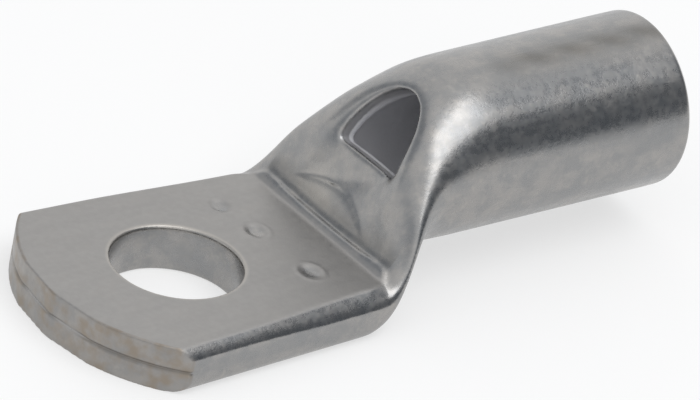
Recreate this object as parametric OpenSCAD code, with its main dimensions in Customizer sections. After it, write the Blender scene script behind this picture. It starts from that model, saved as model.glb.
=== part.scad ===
// Tubular crimp cable lug: a round barrel for the stranded conductor, a pressed
// neck with a sight hole, and a flat palm with one bolt hole. One piece of tube.
// Millimetres. +X runs from the bolt hole to the barrel mouth, +Z is up.
// Origin: bolt hole axis at the palm's underside.

/* [Barrel] */
// Outside diameter of the tube
barrel_d = 14; // [11:0.5:18]
// Wall thickness of the tube
wall = 2; // [1.4:0.1:2.6]
// Bolt hole axis to the barrel mouth
mouth_x = 44.2; // [36:0.2:70]
// Rounding of the mouth's outer edge
mouth_round = 0.5; // [0.1:0.05:0.7]
// Chamfer inside the mouth that guides the strands in
mouth_chamfer = 0.5; // [0.1:0.05:0.6]

/* [Palm] */
// Width of the palm across the bolt hole
palm_w = 22.2; // [19:0.2:25]
// Taper of each side of the palm, in degrees
palm_taper = 3.2; // [0:0.1:4]
// Bolt hole diameter
bolt_d = 10.5; // [5:0.1:13]
// Small chamfer at the upper rim of the bolt hole
bolt_chamfer = 0.2; // [0.05:0.05:0.4]
// Bolt hole axis to the front end of the palm
tip_x = 12; // [10:0.2:16]
// Radius of the sheared front end, in plan
tip_r = 15; // [14:0.5:30]
// Radius of the long edges of the palm
edge_r = 1.3; // [0.6:0.1:1.3]
// Width of the seam between the two pressed walls, seen on the front end
seam_w = 0.16; // [0.1:0.02:0.3]
// Depth of that seam
seam_depth = 0.3; // [0.1:0.05:0.6]

/* [Neck] */
// Bolt hole axis to the die line where the palm ends
root_x = 14; // [12:0.2:20]
// Length of the neck, from the die line to the full round barrel
neck_len = 13.2; // [11:0.2:16]
// Height of the barrel's underside over the palm's underside
lift = 2.1; // [0:0.1:4]
// Length over which the underside climbs to the barrel
under_len = 9.8; // [7:0.2:11]
// Length over which the ears rise from the palm to the barrel
ear_run = 3.9; // [3:0.1:5]
// Length over which the palm's width draws in to the barrel
side_run = 6.8; // [5:0.2:8]
// Slope of the pressed front wall, in degrees
ramp_angle = 61; // [50:1:68]
// Inside radius at the foot of the front wall
ramp_foot = 0.7; // [0.4:0.1:1]
// Rounding of the ears' crests
crest_r = 0.9; // [0.5:0.1:1.5]
// Height of the pillow that the press leaves at the foot of the front wall
pillow_h = 1.3; // [0:0.1:1.6]
// Length of that pillow up the slope
pillow_len = 2.6; // [1.5:0.1:3.2]
// Width of that pillow across the wall
pillow_w = 9; // [6:0.2:10]
// Height of the raised line that the die's edge leaves across the palm
die_line_h = 0.25; // [0:0.05:0.4]
// Width of that line
die_line_w = 0.6; // [0.4:0.1:1]

/* [Sight hole] */
// Width of the hole through the front wall of the neck
sight_w = 6.8; // [4:0.2:7.4]
// Height of the hole along the slope
sight_h = 6.2; // [4:0.2:6.6]
// Slope of the hole's plane, in degrees
sight_angle = 66; // [60:1:72]

/* [Hidden] */

bore_d = barrel_d - 2 * wall;
palm_t = 2 * wall;
axis_z = lift + barrel_d / 2;
top_z = lift + barrel_d;
edge = min(edge_r, palm_t / 2 - 0.1);

// Stations along X, set out along the neck from the die line.
function neck_x(share) = root_x + share * neck_len;
under_x = neck_x(-0.22);
side_x = neck_x(-0.25);
round_x = neck_x(-0.165);
ear_x = neck_x(-0.04);
ramp_x = neck_x(0.04);
cavity_x = neck_x(0.26);
sight_x = neck_x(0.265);
bore_x = neck_x(0.8);
straight_x = neck_x(1);
lap = 0.075 * neck_len;
tip_cx = tip_r - tip_x;

// Shape of the transition: how sharply ears and sides turn, how the wall is cupped.
ear_power = 1.34;
side_power = 3.9;
cup_power = 3;
cup_foot = 0.02;
cup_full = 0.71;
cup_len = 0.26 * neck_len;
pillow_foot = 0.05 * neck_len;
roll_len = 0.23 * neck_len;
roll_power = 0.5;

seat = 0.02;
fine = 96;
ring_n = 84;
bore_n = 48;

function ss(u) = let (v = min(max(u, 0), 1)) v * v * (3 - 2 * v);
function soft(v, w) = w * ln(1 + exp(v / w));
function sgn_pow(v, e) = sign(v) * pow(abs(v), e);
function blend_min(a, b, k) =
    let (h = min(max(0.5 + 0.5 * (b - a) / k, 0), 1))
    b + (a - b) * h - k * h * (1 - h);

// Half width of the outside, from the tapered palm to the round barrel.
function palm_half(x) = palm_w / 2 - tan(palm_taper) * x;
function half_w(x) =
    barrel_d / 2
    + (palm_half(min(x, side_x + side_run * 1.6)) - barrel_d / 2)
    * exp(-pow(max(x - side_x, 0) / side_run, side_power));

// Highest line of the ears, lowest line of the underside, level of the widest point.
function ear_top(x) =
    let (end = 1 - ss((x - neck_x(0.55)) / (0.45 * neck_len)))
    top_z - (top_z - palm_t) * end * exp(-pow(max(x - ear_x, 0) / ear_run, ear_power));
function under(x) = lift * ss((x - under_x) / under_len);
function side_z(x) =
    palm_t / 2 + (axis_z - palm_t / 2) * ss((x - neck_x(-0.15)) / (0.61 * neck_len));

// Lens-shaped pillow: it swells out of the wall's foot and folds in again above.
function pillow(x, y) =
    let (
        lens = max(1 - pow(2 * y / pillow_w, 2), 0),
        v = (x - ramp_x) / cos(ramp_angle) - pillow_foot,
        share = min(max(v / max(pillow_len * lens, 0.05) + 0.12, 0), 1)
    )
    pillow_h * pow(lens, 0.7) * pow(share, 1.1) * pow(1 - share, 0.7);

// Pressed front wall: a ramp along X, nearly flat across at its foot, cupped above.
function cup(x) = cup_foot + (cup_full - cup_foot) * ss((x - ramp_x) / cup_len);
function ramp(x, y) =
    palm_t + soft((x - ramp_x) * tan(ramp_angle), ramp_foot)
    + barrel_d * cup(x) * pow(2 * abs(y) / barrel_d, cup_power)
    + pillow(x, y);

// Raised line left by the edge of the die, fading out at the palm's long edges.
function die_line(x, y) =
    die_line_h * exp(-pow(2 * (x - root_x) / die_line_w, 2))
    * (1 - ss((abs(y) - half_w(x) + 2 * edge) / edge));

// One point of the palm's section, a plate with rounded long edges.
function plate(s, c, a, b) =
    let (
        q = [sgn_pow(s, 0.25) * a, sgn_pow(c, 0.25) * b],
        k = [
            min(max(q.x, edge - a), a - edge),
            min(max(q.y, edge - b), b - edge)
        ]
    )
    k + edge * (q - k) / norm(q - k);

// One point of the neck's section. depth is 0 outside and one wall inside.
function ring_point(x, t, depth) =
    let (
        s = sin(t),
        c = cos(t),
        xs = x - depth * tan(ramp_angle / 2),
        slim = seat * ss((x - neck_x(0.73)) / lap),
        a = half_w(x) - depth - slim,
        lo = under(x) + depth + slim,
        hi = ear_top(xs) - depth - slim,
        mid = min(max(side_z(x), lo + 0.1), hi - 0.1),
        turn = 2 / (2 - 0.19 * (1 - ss((x - neck_x(0.15)) / (0.6 * neck_len)))),
        roll = depth > 0 || c < 0 ? 0 : 1 - ss((x - root_x) / roll_len + 1 / 3),
        e = turn + (roll_power - turn) * roll,
        arch = [a * sgn_pow(s, e), mid + (c > 0 ? hi - mid : mid - lo) * sgn_pow(c, e)],
        flat = plate(s, c, a, palm_t / 2) + [0, palm_t / 2 + under(x) * (c < 0 ? 1 : 0)],
        g = depth > 0 ? 1 : ss((x - round_x) / (0.39 * neck_len)),
        p = flat + (arch - flat) * g,
        w = ramp(xs, p.x) - depth,
        crest = crest_r * min(max((x - root_x) / (0.12 * neck_len), 0.03), 1)
    )
    c < 0 || x < neck_x(-0.09)
        ? [x, p.x, p.y + (c > 0 && depth == 0 ? die_line(x, p.x) : 0)]
        : [x, p.x, blend_min(p.y, w, crest) + (depth == 0 ? die_line(x, p.x) : 0)];

function around(n) = [for (i = [0 : n - 1]) 360 * (i + 0.5) / n];

// End face of a skin as strips between points above and below each other.
function cap(n, at, turn) =
    let (h = n / 2, m = n / 4)
    [for (i = [1 - m : m - 1])
        let (
            p = at + (i - 1 + n) % n,
            q = at + (i + n) % n,
            r = at + (h - 1 - i + n) % n,
            t = at + (h - i + n) % n
        )
        each turn ? [[p, r, q], [p, t, r]] : [[p, q, r], [p, r, t]]];

// Closed skin through rings of equal point count, one ring per station.
module skin(stations, n, depth) {
    m = len(stations);
    points = [for (x = stations) for (t = around(n)) ring_point(x, t, depth)];
    sides = [
        for (j = [0 : m - 2])
            for (i = [0 : n - 1])
                let (
                    k = (i + 1) % n,
                    p = j * n + i,
                    q = j * n + k
                )
                each [[p, q, q + n], [p, q + n, p + n]]
    ];
    polyhedron(points, concat(cap(n, 0, true), sides, cap(n, (m - 1) * n, false)));
}

module blank() {
    skin(
        concat(
            [-tip_x - edge_r, neck_x(-0.34)],
            [for (i = [0 : 3]) neck_x(-0.235 + 0.045 * i)],
            [for (i = [0 : 4]) root_x + die_line_w * (i - 2) * 0.45],
            [for (i = [1 : 14]) neck_x(0.05 + 0.0125 * i)],
            [for (i = [1 : 12]) neck_x(0.225 + 0.0265 * i)],
            [for (i = [1 : 7]) neck_x(0.54 + 0.065 * i)],
            [straight_x]
        ),
        ring_n, 0
    );
}

// Hollow of the neck, closing down towards where the two walls meet.
module neck_hollow() {
    skin(
        concat(
            [for (i = [0 : 13]) cavity_x + (bore_x - cavity_x) * i / 14],
            [bore_x - lap / 3, bore_x + lap]
        ),
        bore_n, wall
    );
}

// Barrel as turned from the tube, from inside the neck to the mouth.
module barrel() {
    r = barrel_d / 2;
    translate([0, 0, axis_z])
        rotate([0, 90, 0])
        rotate_extrude($fn = fine)
        polygon(concat(
            [[0, straight_x - lap], [r, straight_x - lap]],
            [for (i = [0 : 5])
                [r - mouth_round + mouth_round * cos(18 * i),
                 mouth_x - mouth_round + mouth_round * sin(18 * i)]],
            [[0, mouth_x]]
        ));
}

module bore() {
    r = bore_d / 2;
    translate([bore_x, 0, axis_z])
        rotate([0, 90, 0])
        cylinder(h = mouth_x - bore_x + 1, r = r, $fn = fine);
    translate([mouth_x - mouth_chamfer, 0, axis_z])
        rotate([0, 90, 0])
        cylinder(
            h = mouth_chamfer + 0.1, r1 = r,
            r2 = r + mouth_chamfer + 0.1, $fn = fine
        );
}

module bolt_hole() {
    r = bolt_d / 2;
    c = bolt_chamfer;
    translate([0, 0, -1])
        cylinder(h = palm_t + 2, r = r, $fn = fine);
    translate([0, 0, palm_t - c])
        cylinder(h = c + 0.1, r1 = r, r2 = r + c + 0.1, $fn = fine);
}

// What lies outside an arc of radius r about the front end's centre.
module outside_arc(r, from_z, h) {
    difference() {
        translate([-2 * tip_x, -palm_w, from_z])
            cube([2 * tip_x + min(tip_cx, 0), 2 * palm_w, h]);
        translate([tip_cx, 0, from_z - 1])
            cylinder(h = h + 2, r = r, $fn = fine * 2);
    }
}

// Shear cut of the front end, and the seam between the two walls in its face.
module front_trim() {
    outside_arc(tip_r, -1, palm_t + 2);
    intersection() {
        outside_arc(tip_r - seam_depth, palm_t / 2 - seam_w / 2, seam_w);
        translate([-3 * tip_x, -palm_w / 2, 0])
            cube([2.5 * tip_x, palm_w, palm_t]);
    }
}

// Arch-shaped hole with its straight edge at the top of the pressed front wall.
module sight_hole() {
    translate([sight_x, 0, ramp(sight_x, 0)])
        rotate([0, -sight_angle, 0])
        translate([0, 0, -2.2 * wall])
        linear_extrude(height = 2.2 * wall + 3)
        polygon([for (i = [0 : 24])
            [sight_h * sin(7.5 * i), -sight_w / 2 * cos(7.5 * i)]]);
}

module cable_lug() {
    color("silver")
        difference() {
            union() {
                blank();
                barrel();
            }
            front_trim();
            bolt_hole();
            bore();
            neck_hollow();
            sight_hole();
        }
}

cable_lug();
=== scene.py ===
import math

import bmesh
import bpy
import numpy as np
from mathutils import Matrix, Vector


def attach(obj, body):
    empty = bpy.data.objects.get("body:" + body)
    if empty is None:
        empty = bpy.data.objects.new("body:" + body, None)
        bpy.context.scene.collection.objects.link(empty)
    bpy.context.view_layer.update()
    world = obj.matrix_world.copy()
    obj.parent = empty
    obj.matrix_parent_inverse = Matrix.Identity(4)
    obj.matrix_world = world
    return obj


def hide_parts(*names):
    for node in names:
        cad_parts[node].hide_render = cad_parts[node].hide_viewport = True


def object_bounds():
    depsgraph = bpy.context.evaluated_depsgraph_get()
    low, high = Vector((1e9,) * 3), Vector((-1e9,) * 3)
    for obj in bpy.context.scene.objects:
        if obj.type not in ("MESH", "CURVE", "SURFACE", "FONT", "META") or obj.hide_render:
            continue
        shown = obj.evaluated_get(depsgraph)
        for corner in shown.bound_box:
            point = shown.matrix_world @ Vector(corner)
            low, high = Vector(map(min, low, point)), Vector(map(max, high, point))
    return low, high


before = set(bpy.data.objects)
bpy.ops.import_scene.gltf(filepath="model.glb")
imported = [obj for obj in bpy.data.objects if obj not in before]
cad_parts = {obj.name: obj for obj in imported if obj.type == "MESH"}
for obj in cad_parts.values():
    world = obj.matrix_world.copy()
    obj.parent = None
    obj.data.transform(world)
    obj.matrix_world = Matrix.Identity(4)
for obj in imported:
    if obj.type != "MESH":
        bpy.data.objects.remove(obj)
CAD_BOX = [[float(v) for v in corner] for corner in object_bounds()]

bl_info = {
    "name": "Crimp Cable Lug",
    "version": (1, 0, 0),
    "blender": (4, 5, 0),
    "location": "3D View > Sidebar > Cable Lug",
    "description": "Builds a tin-plated tubular crimp lug over its solid model",
    "category": "Add Mesh",
}

MM = 0.001
LUG = "cable_lug_plated"

SKIN_CELL = 0.12  # cell of the even skin, in millimetres
SOFT_ROUNDS = 10  # smoothing rounds over the whole lug
RIM_ROUNDS = 80  # smoothing rounds at the sight hole's rim
MAX_TRIANGLES = 195000

# The camera's axes, and the middle and width of its view in millimetres.
VIEW_RIGHT = (0.7927, -0.5887, 0.1581)
VIEW_BACK = (-0.5781, -0.6436, 0.5017)
VIEW_MIDDLE = (13.981, 8.150)
VIEW_WIDTH = 54.063


def hex_colour(code):
    """A colour written as six sRGB hex digits, as linear RGBA."""
    out = []
    for i in (0, 2, 4):
        c = int(code[i : i + 2], 16) / 255
        out.append(c / 12.92 if c <= 0.04045 else ((c + 0.055) / 1.055) ** 2.4)
    return (*out, 1.0)


WHITE = hex_colour("FFFFFF")


def length(name, description, mm, low, high):
    """A size in the sidebar, kept in metres and given here in millimetres."""
    return bpy.props.FloatProperty(
        name=name,
        description=description,
        default=mm * MM,
        min=low * MM,
        max=high * MM,
        unit="LENGTH",
        subtype="DISTANCE",
    )


def tint(name, description, code):
    """A colour in the sidebar, given here as hex."""
    return bpy.props.FloatVectorProperty(
        name=name,
        description=description,
        default=hex_colour(code),
        size=4,
        min=0.0,
        max=1.0,
        subtype="COLOR",
    )


def level(name, description, value):
    """A brightness in the sidebar."""
    return bpy.props.FloatProperty(
        name=name, description=description, default=value, min=0.0, max=20.0
    )


def degrees(name, description, value):
    """A direction in the sidebar, in degrees."""
    return bpy.props.FloatProperty(
        name=name, description=description, default=value, min=-180.0, max=180.0
    )


# ---------------------------------------------------------------- sizes


class LugSizes(bpy.types.PropertyGroup):
    """Sizes of the tube, the palm and the pressed neck."""

    barrel_d: length("Barrel diameter", "Outside diameter of the tube", 14.0, 11, 18)
    wall: length("Wall", "Wall thickness of the tube", 2.0, 1.4, 2.6)
    mouth_round: length("Mouth rounding", "Rounding of the mouth's outer edge", 0.5, 0.1, 0.7)
    mouth_chamfer: length("Mouth chamfer", "Lead-in chamfer inside the mouth", 0.5, 0.1, 0.6)
    palm_w: length("Palm width", "Width of the palm across the bolt hole", 22.2, 19, 25)
    bolt_d: length("Bolt hole", "Bolt hole diameter", 10.5, 5, 13)
    tip_r: length("Front radius", "Radius of the sheared front end", 15.0, 14, 30)
    edge_r: length("Palm edge radius", "Radius of the palm's long edges", 1.3, 0.6, 1.3)
    bevel: length("Palm bevel", "Bevel along the palm's upper edges", 0.95, 0.4, 1.2)
    root_x: length("Die line", "Bolt hole to the line where the palm ends", 14.0, 12, 20)
    neck_len: length("Neck length", "Die line to the full round barrel", 13.2, 11, 16)
    lift: length("Barrel lift", "Barrel's underside over the palm's", 2.1, 0, 4)
    sight_w: length("Sight hole width", "Width of the sight hole", 6.8, 4, 7.4)
    sight_h: length("Sight hole height", "Height of the sight hole", 6.2, 4, 6.6)


class TinColours(bpy.types.PropertyGroup):
    """Colours of the tin plating, some also standing in for painted shade, a painted highlight
    and a painted fill in the hollow.
    """

    tin: tint("Tin", "Clean tin plating", "A09E9C")
    dull: tint("Dull tin", "Handled and oxidised tin", "8F9091")
    # Also a painted highlight on the pillow's crest.
    bright: tint("Bright tin", "Tin rubbed bright on edges and crests", "B8B4AE")
    # Partly the duller tin inside, partly a painted fill lifting the hollow's shade.
    matt: tint("Matt tin", "Loose grey tin that scatters light, in the hollow", "D2D2D6")
    shear: tint("Shear shade", "Warm shade where the front end was sheared", "948A7E")
    # Dirt in the seam, and also painted shade at the front wall's foot and a painted dark
    # reflection along the barrel's top.
    seam_dirt_and_shade: tint("Seam shade", "Dirt in the seam and at the foot of the wall", "6A6762")


class StageSettings(bpy.types.PropertyGroup):
    """Floor and light of the studio."""

    floor: tint("Floor", "Colour of the floor", "F4F4F4")
    room: level("Room", "Brightness of the room, where 1 is white", 1.0)
    dim: level("Dim side", "Brightness in the middle of the dim side", 0.2)
    overhead: level("Softbox", "Brightness of the softbox overhead", 2.0)
    shade: tint("Dim side colour", "Cool shade of the dim side", "E4F0FF")
    whiten: level("Floor whitening", "Share of plain white in the floor as seen", 0.6)
    dim_azimuth: degrees("Dim side azimuth", "Direction of the dim side", -42)
    dim_elevation: degrees("Dim side elevation", "Height of the dim side", 18)
    key_azimuth: degrees("Softbox azimuth", "Direction of the softbox", -68)
    key_elevation: degrees("Softbox elevation", "Height of the softbox", 62)


def mm(value):
    """A length in metres as millimetres."""
    return value / MM


# ---------------------------------------------------------------- form


def ss(u):
    """Smooth step from 0 to 1 as u goes from 0 to 1."""
    v = np.clip(u, 0, 1)
    return v * v * (3 - 2 * v)


def soft(v, w):
    """About 0 where v is negative and v where it is positive, rounded over a width w."""
    return w * np.logaddexp(0, v / w)


def sgn_pow(v, e):
    """A power that keeps the sign."""
    return np.sign(v) * np.abs(v) ** e


def blend_min(a, b, k):
    """The lesser of a and b, with the corner between them rounded over k."""
    h = np.clip(0.5 + 0.5 * (b - a) / k, 0, 1)
    return b + (a - b) * h - k * h * (1 - h)


class Form:
    """The pressed tube as functions of the station along X, in millimetres."""

    # Palm: how fast each side tapers, the front end's reach, and the run of the rises.
    palm_taper = math.tan(math.radians(3.2))
    tip_x = 12.0
    under_len = 9.8
    ear_run = 3.9
    side_run = 6.8
    ear_power = 1.34
    side_power = 3.9
    # Front wall: its slope, the fillets at its foot and crest, and the cup between the ears.
    ramp_slope = math.tan(math.radians(61))
    ramp_half = math.tan(math.radians(30.5))
    ramp_foot = 0.7
    crest_r = 0.9
    cup_power = 3.0
    cup_foot = 0.02
    cup_full = 0.71
    die_line_h = 0.25
    die_line_w = 0.6
    sight_angle = math.radians(66)
    # Sections: how square the neck's arch is, and the palm's corners and bevels.
    arch_square = 0.19
    boxy_run = 3.0
    corner_power = 0.25
    bevel_growth = 0.45
    bevel_power = 1.22
    # Pillow at the wall's foot, with v counted up the slope from pillow_start.
    pillow_start = 0.35
    pillow_y = 1.0
    pillow_half_w = 4.6
    pillow_up = 2.3
    pillow_down = 0.3
    pillow_h = 2.0
    # Crease across it, through a point and along a slanting line.
    crease_v = 1.3
    crease_y = 5.0
    crease_rise = 3.76
    crease_run = 7.9
    crease_half_w = 0.9
    crease_depth = 0.4

    def __init__(self, sizes):
        self.r = mm(sizes.barrel_d) / 2
        self.wall = mm(sizes.wall)
        self.palm_t = 2 * self.wall
        self.palm_w = mm(sizes.palm_w)
        self.bolt_r = mm(sizes.bolt_d) / 2
        self.tip_r = mm(sizes.tip_r)
        self.tip_cx = self.tip_r - self.tip_x
        self.edge = min(mm(sizes.edge_r), self.palm_t / 2 - 0.1)
        self.bevel = mm(sizes.bevel)
        self.root_x = mm(sizes.root_x)
        self.neck_len = mm(sizes.neck_len)
        self.lift = mm(sizes.lift)
        self.axis_z = self.lift + self.r
        self.top_z = self.lift + 2 * self.r
        self.mouth_x = mm(CAD_BOX[1][0])
        self.mouth_round = mm(sizes.mouth_round)
        self.mouth_chamfer = mm(sizes.mouth_chamfer)
        self.sight_w = mm(sizes.sight_w)
        self.sight_h = mm(sizes.sight_h)
        self.cup_len = 0.26 * self.neck_len
        self.side_x = self.neck_x(-0.25)
        self.round_x = self.neck_x(-0.165)
        self.ramp_x = self.neck_x(0.04)
        self.cavity_x = self.neck_x(0.26)
        self.sight_x = self.neck_x(0.265)
        self.bore_x = self.neck_x(0.8)
        self.straight_x = self.neck_x(1)
        self.lap = 0.075 * self.neck_len

    def neck_x(self, share):
        """Station at a share of the neck, 0 at the die line and 1 at the round barrel."""
        return self.root_x + share * self.neck_len

    def half_w(self, x):
        """Half the width, from the tapering palm down to the barrel."""
        palm = self.palm_w / 2 - self.palm_taper * np.minimum(
            x, self.side_x + self.side_run * 1.6
        )
        draw = np.exp(
            -(np.maximum(x - self.side_x, 0) / self.side_run) ** self.side_power
        )
        return self.r + (palm - self.r) * draw

    def ear_top(self, x):
        """Height of the two ears' crests, and of the barrel's top."""
        end = 1 - ss((x - self.neck_x(0.55)) / (0.45 * self.neck_len))
        rise = np.maximum(x - self.neck_x(-0.04), 0) / self.ear_run
        return self.top_z - (self.top_z - self.palm_t) * end * np.exp(
            -(rise**self.ear_power)
        )

    def under(self, x):
        """Height of the underside."""
        return self.lift * ss((x - self.neck_x(-0.22)) / self.under_len)

    def side_z(self, x):
        """Height at which the section is widest."""
        low = self.palm_t / 2
        rise = ss((x - self.neck_x(-0.15)) / (0.61 * self.neck_len))
        return low + (self.axis_z - low) * rise

    def cup(self, x):
        """How deep the front wall is cupped, as a share of the barrel's diameter."""
        return self.cup_foot + (self.cup_full - self.cup_foot) * ss(
            (x - self.ramp_x) / self.cup_len
        )

    def ramp(self, x, y):
        """Height of the front wall that the press leaves between the ears."""
        return (
            self.palm_t
            + soft((x - self.ramp_x) * self.ramp_slope, self.ramp_foot)
            + 2 * self.r * self.cup(x) * (np.abs(y) / self.r) ** self.cup_power
            + self.folds(x, y)
        )

    def folds(self, x, y):
        """The pillow at the wall's foot and the crease that runs up across it."""
        v = (x - self.ramp_x - self.pillow_start) * 2.0
        lens = np.clip(1 - ((y - self.pillow_y) / self.pillow_half_w) ** 2, 0, 1)
        top = self.pillow_up * lens
        low = -self.pillow_down * lens
        share = np.clip((v - low) / np.maximum(top - low, 0.05), 0, 1)
        pillow = self.pillow_h * lens**0.7 * share**1.1 * (1 - share)
        d = (v - self.crease_v) * self.crease_run + (y - self.crease_y) * self.crease_rise
        d = d / math.hypot(self.crease_run, self.crease_rise)
        # The crease fades at the wall's foot and top and towards both ears.
        near = ss((v + 0.2) / 1.2) * (1 - ss((v - 4.6) / 1.4))
        near = near * (1 - ss((np.abs(y) - 3.8) / 2.0))
        crease = -self.crease_depth * np.exp(-((d / self.crease_half_w) ** 2)) * near
        return pillow + crease

    def die_line(self, x, y):
        """The low ridge that the die leaves across the end of the palm."""
        ridge = self.die_line_h * np.exp(
            -((2 * (x - self.root_x) / self.die_line_w) ** 2)
        )
        return ridge * (1 - ss((np.abs(y) - self.half_w(x) + 2 * self.edge) / self.edge))

    def plate(self, x, s, c, a, b):
        """The palm's section: rounded edges below, bevels that widen to the neck above."""
        corner = self.corner_power
        q = np.stack([sgn_pow(s, corner) * a, sgn_pow(c, corner) * b])
        above = self.bevel * (1 + self.bevel_growth * ss((x + 2) / self.root_x))
        edge = np.where(c > 0, above, self.edge)
        power = np.where(c > 0, self.bevel_power, 2.0)
        k = np.stack([np.clip(q[0], edge - a, a - edge), np.clip(q[1], edge - b, b - edge)])
        d = np.abs(q - k) + 1e-9
        reach = (d[0] ** power + d[1] ** power) ** (1 / power)
        return k + edge * (q - k) / reach

    def ring(self, x, t, depth):
        """Section points at stations x and angles t, 0 outside or one wall in."""
        s, c = np.sin(t), np.cos(t)
        xs = x - depth * self.ramp_half
        a = self.half_w(x) - depth
        lo = self.under(x) + depth
        hi = self.ear_top(xs) - depth
        mid = np.clip(self.side_z(x), lo + 0.1, hi - 0.1)
        square = 1 - ss((x - self.neck_x(0.15)) / (0.6 * self.neck_len))
        e = 2 / (2 - self.arch_square * square)
        # Over the die line the top keeps nearly flat, with its sides rolled over.
        boxy = 1 - ss((x - self.root_x + 1) / self.boxy_run) if depth == 0 else 0
        e = np.where(c > 0, e - (e - 0.5) * boxy, e)
        arch_y = a * sgn_pow(s, e)
        arch_z = mid + np.where(c > 0, hi - mid, mid - lo) * sgn_pow(c, e)
        if depth > 0:
            y, z = arch_y, arch_z
        else:
            flat = self.plate(x, s, c, a, np.full_like(x, self.palm_t / 2))
            flat_z = flat[1] + self.palm_t / 2 + self.under(x) * (c < 0)
            g = ss((x - self.round_x) / (0.39 * self.neck_len))
            y = flat[0] + (arch_y - flat[0]) * g
            z = flat_z + (arch_z - flat_z) * g
        crest = self.crest_r * np.clip((x - self.root_x) / 1.6, 0.03, 1)
        pressed = blend_min(z, self.ramp(xs, y) - depth, crest)
        z = np.where((c < 0) | (x < self.neck_x(-0.09)), z, pressed)
        if depth == 0:
            z = z + np.where(c > 0, self.die_line(x, y), 0)
        return y, z


# ---------------------------------------------------------------- modelling


def clear_selection():
    """Leaves every object deselected, in object mode."""
    if bpy.context.object and bpy.context.object.mode != "OBJECT":
        bpy.ops.object.mode_set(mode="OBJECT")
    bpy.ops.object.select_all(action="DESELECT")


def pick(obj):
    """Selects one object alone and makes it active."""
    clear_selection()
    obj.select_set(True)
    bpy.context.view_layer.objects.active = obj


def settle(obj, name):
    """Names a new piece and bakes its place into its mesh."""
    obj.name = name
    obj.data.name = name
    pick(obj)
    bpy.ops.object.transform_apply(location=True, rotation=True, scale=True)
    return obj


def points(obj):
    """Mesh points of an object, in millimetres."""
    co = np.empty(len(obj.data.vertices) * 3)
    obj.data.vertices.foreach_get("co", co)
    return co.reshape(-1, 3) / MM


def move_points(obj, co):
    """Puts a mesh's points where co says, in millimetres."""
    obj.data.vertices.foreach_set("co", (co * MM).ravel())
    obj.data.update()


def tube(name, cuts, around):
    """A cylinder along X from 0 to 1 mm with evenly cut rings, open at both ends."""
    clear_selection()
    bpy.ops.mesh.primitive_cylinder_add(
        vertices=around,
        radius=MM,
        depth=MM,
        end_fill_type="NOTHING",
        location=(0.5 * MM, 0, 0),
        rotation=(0, math.pi / 2, 0),
    )
    obj = settle(bpy.context.object, name)
    bpy.ops.object.mode_set(mode="EDIT")
    bm = bmesh.from_edit_mesh(obj.data)
    for e in bm.edges:
        e.select_set(abs(e.verts[0].co.x - e.verts[1].co.x) > 0.5 * MM)
    bmesh.update_edit_mesh(obj.data)
    bpy.ops.mesh.subdivide(number_cuts=cuts)
    bpy.ops.object.mode_set(mode="OBJECT")
    return obj


def close_ends(obj):
    """Closes a pressed tube's two ends with strips across the section."""
    pick(obj)
    bpy.ops.object.mode_set(mode="EDIT")
    bm = bmesh.from_edit_mesh(obj.data)
    edges = [e for e in bm.edges if e.is_boundary]
    loops = []
    left = set(edges)
    while left:
        first = left.pop()
        ring = [first.verts[0], first.verts[1]]
        while True:
            step = [e for e in ring[-1].link_edges if e in left]
            if not step:
                break
            left.remove(step[0])
            ring.append(step[0].other_vert(ring[-1]))
        loops.append(ring[:-1] if ring[0] == ring[-1] else ring)
    for ring in loops:
        n = len(ring)
        start = max(range(n), key=lambda i: ring[i].co.y)
        ring = ring[start:] + ring[:start]
        for i in range(n // 2):
            a, b = ring[i], ring[i + 1]
            c, d = ring[(n - i - 1) % n], ring[(n - i) % n]
            corners = []
            for v in (a, b, c, d):
                if v not in corners:
                    corners.append(v)
            if len(corners) > 2:
                bm.faces.new(corners)
    bmesh.ops.recalc_face_normals(bm, faces=bm.faces)
    bmesh.update_edit_mesh(obj.data)
    bpy.ops.object.mode_set(mode="OBJECT")


def turned(name, profile, sides=192):
    """A solid of revolution about Z through (radius, height) pairs, in millimetres."""
    clear_selection()
    r, z = profile[0]
    bpy.ops.mesh.primitive_circle_add(
        vertices=sides, radius=r * MM, fill_type="NGON", location=(0, 0, z * MM)
    )
    obj = settle(bpy.context.object, name)
    bpy.ops.object.mode_set(mode="EDIT")
    bpy.ops.mesh.select_all(action="SELECT")
    for r_next, z_next in profile[1:]:
        bpy.ops.mesh.extrude_region_move(
            TRANSFORM_OT_translate={"value": (0, 0, (z_next - z) * MM)}
        )
        k = r_next / r
        bpy.ops.transform.resize(value=(k, k, 1), center_override=(0, 0, z_next * MM))
        r, z = r_next, z_next
    bpy.ops.mesh.select_all(action="SELECT")
    bpy.ops.mesh.normals_make_consistent(inside=False)
    bpy.ops.object.mode_set(mode="OBJECT")
    return obj


def cut(obj, tool):
    """Takes tool's shape away from obj and removes the tool."""
    pick(obj)
    m = obj.modifiers.new("cut", "BOOLEAN")
    m.operation = "DIFFERENCE"
    m.solver = "EXACT"
    m.object = tool
    bpy.ops.object.modifier_apply(modifier=m.name)
    data = tool.data
    bpy.data.objects.remove(tool)
    bpy.data.meshes.remove(data)


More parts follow.
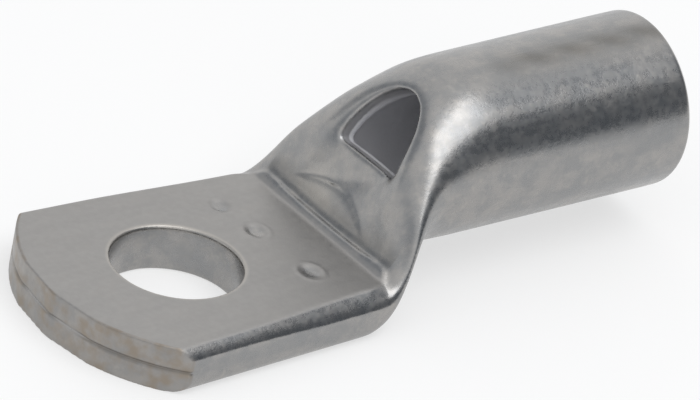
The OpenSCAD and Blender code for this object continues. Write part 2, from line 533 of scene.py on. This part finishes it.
def press_blank(form):
    """The outside: a tube pressed to the palm, the neck and the round barrel."""
    palm_run = 22.0
    fan_x = 8.0
    stations = np.concatenate(
        [
            np.linspace(0, 1, 24) * palm_run - form.tip_x,
            np.arange(form.neck_x(-0.25), form.neck_x(0.55), 0.1),
            np.arange(form.neck_x(0.55), form.straight_x, 0.2),
            np.linspace(form.straight_x, form.mouth_x - form.mouth_round, 12),
        ]
    )
    stations = np.unique(np.round(stations, 4))
    swell = [math.radians(a) for a in (15, 30, 45, 60, 75, 90)]
    obj = tube("lug_blank", len(stations) + len(swell) - 2, 288)
    co = points(obj)
    k = np.rint(co[:, 0] * (len(stations) + len(swell) - 1)).astype(int)
    t = np.arctan2(co[:, 1], co[:, 2])
    x = stations[np.minimum(k, len(stations) - 1)]
    y, z = form.ring(x, t, 0)
    # Front end: stations short of fan_x spread out to follow the sheared arc.
    for _ in range(4):
        arc = form.tip_cx - np.sqrt(np.maximum(form.tip_r**2 - y**2, 1e-6))
        share = np.clip((fan_x - x) / (fan_x + form.tip_x), 0, 1)
        xf = x + (arc + form.tip_x) * share
        y, z = form.ring(xf, t, 0)
    # Mouth: the last rings close in on a quarter round.
    over = k - (len(stations) - 1)
    a = np.array([0.0] + swell)[np.clip(over, 0, len(swell))]
    xf = xf + form.mouth_round * np.sin(a)
    shrink = 1 - form.mouth_round * (1 - np.cos(a)) / form.r
    y = y * shrink
    z = form.axis_z + (z - form.axis_z) * np.where(over > 0, shrink, 1)
    move_points(obj, np.stack([xf, y, z], 1))
    close_ends(obj)
    return obj


def neck_hollow(form):
    """The hollow that closes down from the bore to where the walls meet."""
    stations = np.linspace(form.cavity_x, form.bore_x + form.lap, 110)
    obj = tube("lug_hollow", len(stations) - 2, 192)
    co = points(obj)
    x = stations[np.rint(co[:, 0] * (len(stations) - 1)).astype(int)]
    y, z = form.ring(x, np.arctan2(co[:, 1], co[:, 2]), form.wall)
    # A hair under the bore, so that the two cutters meet without sharing a face.
    slim = 1 - 0.004 * ss((x - form.neck_x(0.73)) / form.lap)
    z = form.axis_z + (z - form.axis_z) * slim
    move_points(obj, np.stack([x, y * slim, z], 1))
    close_ends(obj)
    return obj


def bore(form):
    """The exact bore with its lead-in chamfer."""
    r = form.r - form.wall
    c = form.mouth_chamfer
    length_x = form.mouth_x - form.bore_x
    obj = turned(
        "lug_bore", [(r, 0), (r, length_x - c), (r + c, length_x), (r + c, length_x + 1)]
    )
    obj.rotation_euler = (0, math.pi / 2, 0)
    obj.location = (form.bore_x * MM, 0, form.axis_z * MM)
    return settle(obj, "lug_bore")


def bolt_hole(form):
    """The bolt hole with slightly rounded rims."""
    r = form.bolt_r
    rim = 0.22
    steps = [math.radians(a) for a in (90, 67, 45, 22, 0)]
    low = [(r + rim * (1 - math.cos(a)), rim * (1 - math.sin(a))) for a in steps]
    high = [(q, form.palm_t - z) for q, z in reversed(low)]
    return turned(
        "lug_bolt_hole", [(r + rim, -1)] + low + high + [(r + rim, form.palm_t + 1)]
    )


def sight_hole(form):
    """The arch-shaped hole, as a prism square to its own slope."""
    clear_selection()
    bpy.ops.mesh.primitive_circle_add(vertices=120, radius=MM)
    obj = settle(bpy.context.object, "lug_sight_hole")
    bpy.ops.object.mode_set(mode="EDIT")
    bpy.ops.mesh.select_all(action="DESELECT")
    bm = bmesh.from_edit_mesh(obj.data)
    for v in bm.verts:
        v.select_set(v.co.x < -0.001 * MM)
    bm.select_flush_mode()
    bmesh.update_edit_mesh(obj.data)
    bpy.ops.mesh.delete(type="VERT")
    bpy.ops.mesh.select_all(action="SELECT")
    bpy.ops.mesh.edge_face_add()
    bpy.ops.mesh.extrude_region_move(TRANSFORM_OT_translate={"value": (0, 0, MM)})
    bpy.ops.mesh.select_all(action="SELECT")
    bpy.ops.mesh.normals_make_consistent(inside=False)
    bpy.ops.object.mode_set(mode="OBJECT")
    deep = 2.2 * form.wall
    obj.scale = (form.sight_h, form.sight_w / 2, deep + 3)
    bpy.ops.object.transform_apply(scale=True)
    turn = Matrix.Rotation(-form.sight_angle, 4, "Y")
    foot = float(form.ramp(np.array(form.sight_x), np.array(0.0)))
    place = Matrix.Translation((form.sight_x * MM, 0, foot * MM))
    obj.matrix_world = place @ turn @ Matrix.Translation((0, 0, -deep * MM))
    return settle(obj, "lug_sight_hole")


def soften(obj, voxel, rounds):
    """Gives the cut blank an even skin and takes the keenness off its edges."""
    pick(obj)
    m = obj.modifiers.new("skin", "REMESH")
    m.mode = "VOXEL"
    m.voxel_size = voxel * MM
    m.adaptivity = 0
    m.use_smooth_shade = True
    bpy.ops.object.modifier_apply(modifier=m.name)
    m = obj.modifiers.new("soft", "SMOOTH")
    m.factor = 0.5
    m.iterations = rounds
    bpy.ops.object.modifier_apply(modifier=m.name)


def hole_place(form, co):
    """Points as seen from the sight hole: share of its arch, way up it, height over it."""
    x, y, z = co.T
    foot = float(form.ramp(np.array(form.sight_x), np.array(0.0)))
    c, s = math.cos(form.sight_angle), math.sin(form.sight_angle)
    up = (x - form.sight_x) * c + (z - foot) * s
    out = (z - foot) * c - (x - form.sight_x) * s
    share = np.hypot(2 * y / form.sight_w, up / form.sight_h)
    return share, up, out


def ease_rim(obj, form, rounds):
    """Rolls the sight hole's rim over, as the tinned edge is."""
    reach, fade = 1.8, 1.3
    co = points(obj)
    share, up, out = hole_place(form, co)
    arch = np.abs(share - 1) * form.sight_w / 2
    foot = np.hypot(up, np.maximum(share - 1, 0) * form.sight_w / 2)
    off = np.where(up > 0, np.minimum(arch, np.where(share < 1, np.abs(up), 9)), foot)
    weight = ss((reach - off) / fade) * (out > -4.5) * (co[:, 0] < form.neck_x(0.75))
    group = obj.vertex_groups.new(name="rim")
    for i in np.nonzero(weight > 0.02)[0]:
        group.add([int(i)], float(weight[i]), "REPLACE")
    pick(obj)
    m = obj.modifiers.new("rim", "SMOOTH")
    m.factor = 0.5
    m.iterations = rounds
    m.vertex_group = group.name
    bpy.ops.object.modifier_apply(modifier=m.name)
    obj.vertex_groups.clear()


def punch(obj, form):
    """Three blunt punch dots in a slanting row between the bolt hole and the die line."""
    sides = (5.6, 1.4, -5.2)
    radius, deep, burr = 0.7, 0.2, 0.03
    co = points(obj)
    x, y, z = co.T
    top = ss((z - form.palm_t + 0.3) / 0.2) * (x < form.root_x - 1)
    sink = np.zeros(len(co))
    for i, side in enumerate(sides):
        row_x = form.bolt_r + 3.0 + 0.45 * i
        q = np.hypot(x - row_x, 0.8 * (y - side)) / radius
        sink += deep * np.exp(-(q**4)) - burr * np.exp(-(((q - 1.5) / 0.3) ** 2))
    co[:, 2] = z - sink * top
    co[:, 2] = np.where(top > 0, np.minimum(co[:, 2], form.palm_t + burr), co[:, 2])
    move_points(obj, co)


def groove_front(obj, form):
    """The seam between the two pressed walls, along the middle of the front end."""
    deep, half_w = 0.16, 0.14
    co = points(obj)
    x, y, z = co.T
    reach = np.hypot(x - form.tip_cx, y)
    front = ss((reach - form.tip_r + 0.3) / 0.2) * (x < 0)
    sink = deep * front * np.exp(-(((z - form.palm_t / 2) / half_w) ** 2))
    keep = 1 - sink / np.maximum(reach, 1)
    co[:, 0] = form.tip_cx + (x - form.tip_cx) * keep
    co[:, 1] = y * keep
    move_points(obj, co)


def thin_out(obj, limit):
    """Brings a mesh under a number of triangles, keeping its curves."""
    pick(obj)
    count = sum(len(p.vertices) - 2 for p in obj.data.polygons)
    if count > limit:
        m = obj.modifiers.new("thin", "DECIMATE")
        m.ratio = limit / count
        bpy.ops.object.modifier_apply(modifier=m.name)


def true_normals(obj):
    """Smooth shading that leaves the flat faces flat."""
    pick(obj)
    bpy.ops.object.shade_smooth()
    m = obj.modifiers.new("normals", "WEIGHTED_NORMAL")
    m.mode = "FACE_AREA"
    m.weight = 80
    bpy.ops.object.modifier_apply(modifier=m.name)


def skin_z(form, x, y):
    """Height of the outside over a point: the arch or the front wall, whichever is lower."""
    a = form.half_w(x)
    mid = np.minimum(form.side_z(x), form.ear_top(x) - 0.1)
    rise = (1 - np.minimum(np.abs(y / a), 1) ** 1.9) ** 0.53
    return np.minimum(mid + (form.ear_top(x) - mid) * rise, form.ramp(x, y))


def hollow_and_fill_mark(form, co):
    """1 on the hollow's skin and less on the sight hole's walls, fading out in the bore; it grows
    with depth, so its pale matt tone is a painted fill that lifts the hollow's shade.
    """
    wall_share = 0.45
    x, y, z = co.T
    depth = 0.5 * form.wall
    xs = x - depth * form.ramp_half
    a = form.half_w(x) - depth
    lo = form.under(x) + depth
    hi = form.ear_top(xs) - depth
    mid = np.clip(form.side_z(x), lo + 0.1, hi - 0.1)
    tall = np.where(z > mid, hi - mid, mid - lo)
    off = np.hypot(y / a, (z - mid) / tall)
    below = form.ramp(xs, y) - depth - z
    inside = ss((1.04 - off) / 0.08) * ss((below + 0.15) / 0.3)
    inside = inside * ss((x - form.cavity_x + 0.8) / 0.4)
    sunk = skin_z(form, x, y) - z
    share, up, out = hole_place(form, co)
    walls = ss((1.25 - share) / 0.15) * ss((sunk - 0.3) / 0.8) * (up > -0.5) * (out > -5)
    # Painted fill: lightest deep in the hollow, lower on the lit walls of the sight hole.
    hollow = np.maximum(inside * ss((sunk - 0.4) / 2.2), wall_share * walls)
    return hollow * (1 - ss((x - form.bore_x - 1) / 5))


def painted_shade_mark(form, co):
    """Painted shade along the front wall's foot, and a painted dark reflection along the barrel's
    top.
    """
    foot_share, line_share, line_swing = 0.4, 0.5, 0.15
    x, y, z = co.T
    # Painted shade in the crease at the front wall's foot.
    foot = np.exp(-(((x - form.ramp_x - 0.3) / 0.45) ** 2)) * (z > form.palm_t + 0.1)
    # Painted dark reflection: a stripe along the barrel's top, a little to the near side.
    line = np.exp(-(((y + 1.1) / 1.1) ** 2)) * ss((x - form.neck_x(0.9)) / 5)
    line = line * (z > form.axis_z) * (line_share + line_swing * np.sin(1.7 * x + 2 * y))
    return np.maximum(foot_share * foot * (np.abs(y) < form.r + 1), line)


def wear_and_highlight_mark(form, co):
    """Bright wear on the bolt hole's rim and the mouth's edge, and a painted highlight on the
    pillow's crest.
    """
    lip_share = 0.6
    x, y, z = co.T
    rim = ss(1 - np.abs(np.hypot(x, y) - form.bolt_r - 0.15) / 0.3) * (z > form.palm_t - 0.4)
    lip = ss((np.hypot(y, z - form.axis_z) - form.r + 0.6) / 0.4)
    lip = lip_share * lip * ss((x - form.mouth_x + 0.5) / 0.4)
    # Painted highlight on the pillow's crest, where the light catches it.
    crest = np.exp(-(((x - form.ramp_x - 0.9) / 0.9) ** 2) - ((y - 2.4) / 1.9) ** 2)
    crest = crest * (z > form.palm_t + 0.6) * (z < form.axis_z)
    return np.maximum(rim, np.maximum(lip, crest))


def paint(obj, form):
    """Marks the mesh's points as pressed flat, in the hollow with its painted fill, in painted
    shade, or worn bright or under a painted highlight.
    """
    co = points(obj)
    x, _, z = co.T
    flat = np.maximum(ss((z - form.palm_t + 0.2) / 0.15), ss((0.2 - z) / 0.15))
    marks = {
        "pressed": flat * (1 - ss((x - form.root_x + 0.4) / 0.4)),
        "hollow": hollow_and_fill_mark(form, co),
        "painted_shade": painted_shade_mark(form, co),
        "wear_and_highlight": wear_and_highlight_mark(form, co),
    }
    for name, value in marks.items():
        layer = obj.data.attributes.new(name, "FLOAT", "POINT")
        layer.data.foreach_set("value", value.astype(np.float32))


# ---------------------------------------------------------------- materials


def node(tree, kind, **values):
    """Adds a shader node; names set an input socket, or else a property."""
    n = tree.nodes.new(kind)
    for key, value in values.items():
        if key in n.inputs:
            n.inputs[key].default_value = value
        else:
            setattr(n, key, value)
    return n


def tin_material(colours, form):
    """Satin tin plate over copper: mottled, finely grained, duller where it was pressed."""
    mat = bpy.data.materials.new("satin tin plate")
    mat.use_nodes = True
    tree = mat.node_tree
    tree.nodes.clear()
    links = tree.links
    out = node(tree, "ShaderNodeOutputMaterial")
    skin = node(tree, "ShaderNodeBsdfPrincipled", Metallic=1.0)
    links.new(skin.outputs["BSDF"], out.inputs["Surface"])

    def join(value, socket):
        """Links an output, or sets a constant."""
        if isinstance(value, bpy.types.NodeSocket):
            links.new(value, socket)
        else:
            socket.default_value = value

    def spread(value, low, high, start, end):
        """Turns a range of values smoothly into another."""
        n = node(tree, "ShaderNodeMapRange", interpolation_type="SMOOTHSTEP")
        join(value, n.inputs["Value"])
        for key, v in (("From Min", low), ("From Max", high), ("To Min", start), ("To Max", end)):
            join(v, n.inputs[key])
        return n.outputs["Result"]

    def sum_of(a, b, operation="ADD"):
        """Two values added, or joined by another operation."""
        n = node(tree, "ShaderNodeMath", operation=operation)
        join(a, n.inputs[0])
        join(b, n.inputs[1])
        return n.outputs["Value"]

    def blend(share, a, b):
        """Colour a where share is 0 and b where it is 1."""
        n = node(tree, "ShaderNodeMix", data_type="RGBA")
        join(share, n.inputs["Factor"])
        join(a, n.inputs["A"])
        join(b, n.inputs["B"])
        return n.outputs["Result"]

    place = node(tree, "ShaderNodeTexCoord")

    def cloud(per_mm, detail, stretch=(1, 1, 1), rough=0.5):
        """Noise with per_mm cells to the millimetre, stretched along each axis."""
        fit = node(tree, "ShaderNodeMapping")
        fit.inputs["Scale"].default_value = [1 / MM / k for k in stretch]
        links.new(place.outputs["Object"], fit.inputs["Vector"])
        n = node(tree, "ShaderNodeTexNoise", Scale=per_mm, Detail=detail, Roughness=rough)
        links.new(fit.outputs["Vector"], n.inputs["Vector"])
        return n.outputs["Fac"]

    def painted(name):
        """A value that the mesh carries at each point."""
        return node(tree, "ShaderNodeAttribute", attribute_name=name).outputs["Fac"]

    pressed = painted("pressed")
    hollow = painted("hollow")
    painted_shade = painted("painted_shade")

    # The sheared front end lies on an arc about a point of the palm's middle line.
    nose = node(tree, "ShaderNodeMapping")
    nose.inputs["Scale"].default_value = (1 / MM, 1 / MM, 0)
    nose.inputs["Location"].default_value = (-form.tip_cx, 0, 0)
    links.new(place.outputs["Object"], nose.inputs["Vector"])
    reach = node(tree, "ShaderNodeVectorMath", operation="LENGTH")
    links.new(nose.outputs["Vector"], reach.inputs[0])
    parts = node(tree, "ShaderNodeSeparateXYZ")
    links.new(place.outputs["Object"], parts.inputs["Vector"])
    front = spread(parts.outputs["X"], -5 * MM, -4 * MM, 1.0, 0.0)
    sheared = spread(reach.outputs["Value"], form.tip_r - 0.3, form.tip_r - 0.1, 0.0, 1.0)
    sheared = sum_of(sheared, front, "MULTIPLY")
    # The seam's dirt keeps to the front's middle height and wanders a little.
    over_seam = sum_of(sum_of(parts.outputs["Z"], 1 / MM, "MULTIPLY"), -form.palm_t / 2)
    wander = spread(cloud(0.35, 2), 0.2, 0.8, -0.06, 0.06)
    off_seam = sum_of(sum_of(over_seam, wander), 0.0, "ABSOLUTE")
    seam = spread(off_seam, 0.02, 0.22, 0.55, 0.0)
    seam = sum_of(seam, sheared, "MULTIPLY")

    # Patches, flecks and grain lie anyhow; drawn lines and streaks run along the tube.
    blotch = cloud(0.55, 3, rough=0.6)
    fleck = cloud(1.7, 2, rough=0.55)
    grain = cloud(5.0, 2, rough=0.7)
    drawn = cloud(1.3, 2, stretch=(9, 1, 1))
    streak = cloud(0.42, 2, stretch=(7, 1, 1))

    clean = spread(blotch, 0.34, 0.66, 0.25, 1.0)
    colour = blend(clean, tuple(colours.dull), tuple(colours.tin))
    colour = blend(spread(fleck, 0.5, 0.8, 0.0, 0.35), colour, tuple(colours.bright))
    colour = blend(spread(streak, 0.5, 0.66, 0.0, 0.6), colour, tuple(colours.dull))
    colour = blend(spread(pressed, 0.0, 1.0, 0.0, 0.85), colour, tuple(colours.tin))
    # Real wear on the rims, and a painted highlight on the pillow's crest.
    colour = blend(sum_of(painted("wear_and_highlight"), 0.8, "MULTIPLY"), colour, tuple(colours.bright))
    stain = spread(cloud(0.7, 4), 0.38, 0.7, 0.15, 0.9)
    colour = blend(sum_of(sheared, stain, "MULTIPLY"), colour, tuple(colours.shear))
    # Dirt in the front end's seam, painted shade at the front wall's foot and a painted dark
    # reflection on the barrel's top.
    colour = blend(sum_of(painted_shade, seam, "MAXIMUM"), colour, tuple(colours.seam_dirt_and_shade))
    # Pale matt tin in the hollow, partly a painted fill that lifts its shade.
    colour = blend(hollow, colour, tuple(colours.matt))
    links.new(colour, skin.inputs["Base Color"])

    # Pressed and sheared faces are duller than the drawn tube, and the hollow most of all.
    rough = spread(fleck, 0.3, 0.7, 0.24, 0.32)
    rough = sum_of(rough, spread(drawn, 0.3, 0.7, -0.02, 0.03))
    rough = sum_of(rough, spread(pressed, 0.0, 1.0, 0.0, 0.17))
    rough = sum_of(rough, spread(sheared, 0.0, 1.0, 0.0, 0.12))
    rough = sum_of(rough, spread(hollow, 0.0, 1.0, 0.0, 0.3))
    links.new(rough, skin.inputs["Roughness"])
    links.new(spread(hollow, 0.0, 1.0, 1.0, 0.15), skin.inputs["Metallic"])

    # Fine relief, each noise with its height in millimetres.
    normal = None
    reliefs = (
        (blotch, 0.012),
        (fleck, 0.008),
        (drawn, 0.004),
        (grain, 0.006),
    )
    for height, tall in reliefs:
        bump = node(tree, "ShaderNodeBump", Strength=1.0, Distance=tall * MM)
        links.new(height, bump.inputs["Height"])
        if normal:
            links.new(normal, bump.inputs["Normal"])
        normal = bump.outputs["Normal"]
    links.new(normal, skin.inputs["Normal"])
    return mat


# ---------------------------------------------------------------- operators


class LUG_OT_add_lug(bpy.types.Operator):
    """Press, cut and soften the lug from one piece of tube"""

    bl_idname = "cable_lug.add_lug"
    bl_label = "Lug"

    def execute(self, context):
        form = Form(context.scene.lug_sizes)
        lug = press_blank(form)
        cut(lug, neck_hollow(form))
        cut(lug, bore(form))
        cut(lug, bolt_hole(form))
        cut(lug, sight_hole(form))
        soften(lug, SKIN_CELL, SOFT_ROUNDS)
        ease_rim(lug, form, RIM_ROUNDS)
        punch(lug, form)
        groove_front(lug, form)
        thin_out(lug, MAX_TRIANGLES)
        lug.name = LUG
        lug.data.name = LUG
        true_normals(lug)
        paint(lug, form)
        lug.data.materials.clear()
        lug.data.materials.append(tin_material(context.scene.lug_colours, form))
        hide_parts("cable_lug")
        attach(lug, "root")
        return {"FINISHED"}


def towards(azimuth, elevation):
    """Unit direction, azimuth from +X towards +Y, both in degrees."""
    a, e = math.radians(azimuth), math.radians(elevation)
    return Vector((math.cos(a) * math.cos(e), math.sin(a) * math.cos(e), math.sin(e)))


def studio_world(stage):
    """Pale all round, with one dim side that gives the metal its dark streak.

    Two weaker dim patches, low before the front end and high on the far side, shade the rest.
    The eye sees plain white.
    """
    dim_side = towards(stage.dim_azimuth, stage.dim_elevation)
    patches = ((towards(-165, 8), 0.55), (towards(128, 42), 0.5))
    world = bpy.data.worlds.new("studio")
    world.use_nodes = True
    tree = world.node_tree
    tree.nodes.clear()
    links = tree.links
    out = node(tree, "ShaderNodeOutputWorld")
    place = node(tree, "ShaderNodeTexCoord")

    def lobe(way, wide, narrow, before, after):
        """Changes from before to after between two angles, in degrees, round a direction."""
        near = node(tree, "ShaderNodeVectorMath", operation="DOT_PRODUCT")
        near.inputs[1].default_value = way
        links.new(place.outputs["Generated"], near.inputs[0])
        fade = node(tree, "ShaderNodeMapRange", interpolation_type="SMOOTHSTEP")
        fade.inputs["From Min"].default_value = math.cos(math.radians(wide))
        fade.inputs["From Max"].default_value = math.cos(math.radians(narrow))
        fade.inputs["To Min"].default_value = before
        fade.inputs["To Max"].default_value = after
        links.new(near.outputs["Value"], fade.inputs["Value"])
        return fade.outputs["Result"]

    strength = lobe(dim_side, 58, 16, stage.room, stage.dim)
    for way, least in patches:
        product = node(tree, "ShaderNodeMath", operation="MULTIPLY")
        links.new(strength, product.inputs[0])
        links.new(lobe(way, 36, 8, 1.0, least), product.inputs[1])
        strength = product.outputs["Value"]
    cool = node(tree, "ShaderNodeMix", data_type="RGBA")
    cool.inputs["A"].default_value = tuple(stage.shade)
    cool.inputs["B"].default_value = WHITE
    links.new(strength, cool.inputs["Factor"])
    room = node(tree, "ShaderNodeBackground")
    links.new(cool.outputs["Result"], room.inputs["Color"])
    links.new(strength, room.inputs["Strength"])
    white = node(tree, "ShaderNodeBackground", Color=WHITE, Strength=1.0)
    path = node(tree, "ShaderNodeLightPath")
    mix = node(tree, "ShaderNodeMixShader")
    links.new(path.outputs["Is Camera Ray"], mix.inputs["Fac"])
    links.new(room.outputs["Background"], mix.inputs[1])
    links.new(white.outputs["Background"], mix.inputs[2])
    links.new(mix.outputs["Shader"], out.inputs["Surface"])
    return world


def softbox(stage):
    """One large soft light above, a little to the near side."""
    size = 0.5
    far = 0.6
    data = bpy.data.lights.new("softbox", "AREA")
    data.shape = "RECTANGLE"
    data.size = size
    data.size_y = size * 0.8
    # An area light's radiance is its power over pi times its area.
    data.energy = stage.overhead * math.pi * data.size * data.size_y
    lamp = bpy.data.objects.new("softbox", data)
    bpy.context.collection.objects.link(lamp)
    way = towards(stage.key_azimuth, stage.key_elevation)
    turn = way.to_track_quat("Z", "Y").to_matrix().to_4x4()
    lamp.matrix_world = Matrix.Translation(way * far) @ turn
    lamp.visible_camera = False


def studio_floor(stage):
    """A pale matt floor that takes the lug's shadow."""
    clear_selection()
    bpy.ops.mesh.primitive_plane_add(size=3.0, location=(0, 0, 0))
    floor = settle(bpy.context.object, "studio_floor")
    mat = bpy.data.materials.new("pale studio floor")
    mat.use_nodes = True
    tree = mat.node_tree
    links = tree.links
    skin = tree.nodes["Principled BSDF"]
    skin.inputs["Base Color"].default_value = tuple(stage.floor)
    skin.inputs["Roughness"].default_value = 0.9
    # The eye and the metal see a whiter floor, which still takes the shadow.
    glow = node(tree, "ShaderNodeEmission", Color=WHITE, Strength=1.0)
    path = node(tree, "ShaderNodeLightPath")
    seen = path.outputs["Is Camera Ray"]
    for ray in ("Is Glossy Ray", "Is Transmission Ray"):
        wider = node(tree, "ShaderNodeMath", operation="MAXIMUM")
        links.new(seen, wider.inputs[0])
        links.new(path.outputs[ray], wider.inputs[1])
        seen = wider.outputs["Value"]
    share = node(tree, "ShaderNodeMath", operation="MULTIPLY")
    share.inputs[1].default_value = stage.whiten
    links.new(seen, share.inputs[0])
    mix = node(tree, "ShaderNodeMixShader")
    links.new(share.outputs["Value"], mix.inputs["Fac"])
    links.new(skin.outputs["BSDF"], mix.inputs[1])
    links.new(glow.outputs["Emission"], mix.inputs[2])
    links.new(mix.outputs["Shader"], tree.nodes["Material Output"].inputs["Surface"])
    floor.data.materials.append(mat)
    return floor


def studio_camera():
    """A long lens that sees the lug almost without perspective."""
    right = Vector(VIEW_RIGHT).normalized()
    back = Vector(VIEW_BACK).normalized()
    up = back.cross(right).normalized()
    right = up.cross(back).normalized()
    centre = (VIEW_MIDDLE[0] * right + VIEW_MIDDLE[1] * up) * MM
    data = bpy.data.cameras.new("studio_camera")
    data.lens = 910
    data.sensor_width = 36
    data.clip_end = 10
    camera = bpy.data.objects.new("studio_camera", data)
    bpy.context.collection.objects.link(camera)
    turn = Matrix((right, up, back)).transposed().to_4x4()
    far = VIEW_WIDTH * MM * data.lens / data.sensor_width
    camera.matrix_world = Matrix.Translation(centre + back * far) @ turn
    return camera


class LUG_OT_add_stage(bpy.types.Operator):
    """Add the pale floor, the soft light and the camera"""

    bl_idname = "cable_lug.add_stage"
    bl_label = "Studio"

    def execute(self, context):
        stage = context.scene.lug_stage
        floor = studio_floor(stage)
        context.scene.world = studio_world(stage)
        softbox(stage)
        context.scene.camera = studio_camera()
        context.scene.view_settings.view_transform = "Standard"
        return {"FINISHED"}


class LUG_PT_sidebar(bpy.types.Panel):
    """Lists the steps that build the lug and its studio"""

    bl_idname = "LUG_PT_sidebar"
    bl_label = "Cable Lug"
    bl_space_type = "VIEW_3D"
    bl_region_type = "UI"
    bl_category = "Cable Lug"

    def draw(self, context):
        column = self.layout.column()
        for group in ("lug_sizes", "lug_colours", "lug_stage"):
            settings = getattr(context.scene, group)
            for name in settings.__annotations__:
                column.prop(settings, name)
        for operator in STEPS:
            column.operator(operator.bl_idname)


GROUPS = {
    "lug_sizes": LugSizes,
    "lug_colours": TinColours,
    "lug_stage": StageSettings,
}
STEPS = (LUG_OT_add_lug, LUG_OT_add_stage)


def register():
    for group in GROUPS.values():
        bpy.utils.register_class(group)
    for operator in STEPS:
        bpy.utils.register_class(operator)
    bpy.utils.register_class(LUG_PT_sidebar)
    for name, group in GROUPS.items():
        setattr(bpy.types.Scene, name, bpy.props.PointerProperty(type=group))


def unregister():
    for name in GROUPS:
        delattr(bpy.types.Scene, name)
    bpy.utils.unregister_class(LUG_PT_sidebar)
    for operator in reversed(STEPS):
        bpy.utils.unregister_class(operator)
    for group in reversed(list(GROUPS.values())):
        bpy.utils.unregister_class(group)


def main():
    register()
    bpy.ops.cable_lug.add_lug()
    bpy.ops.cable_lug.add_stage()


if __name__ == "__main__":
    main()
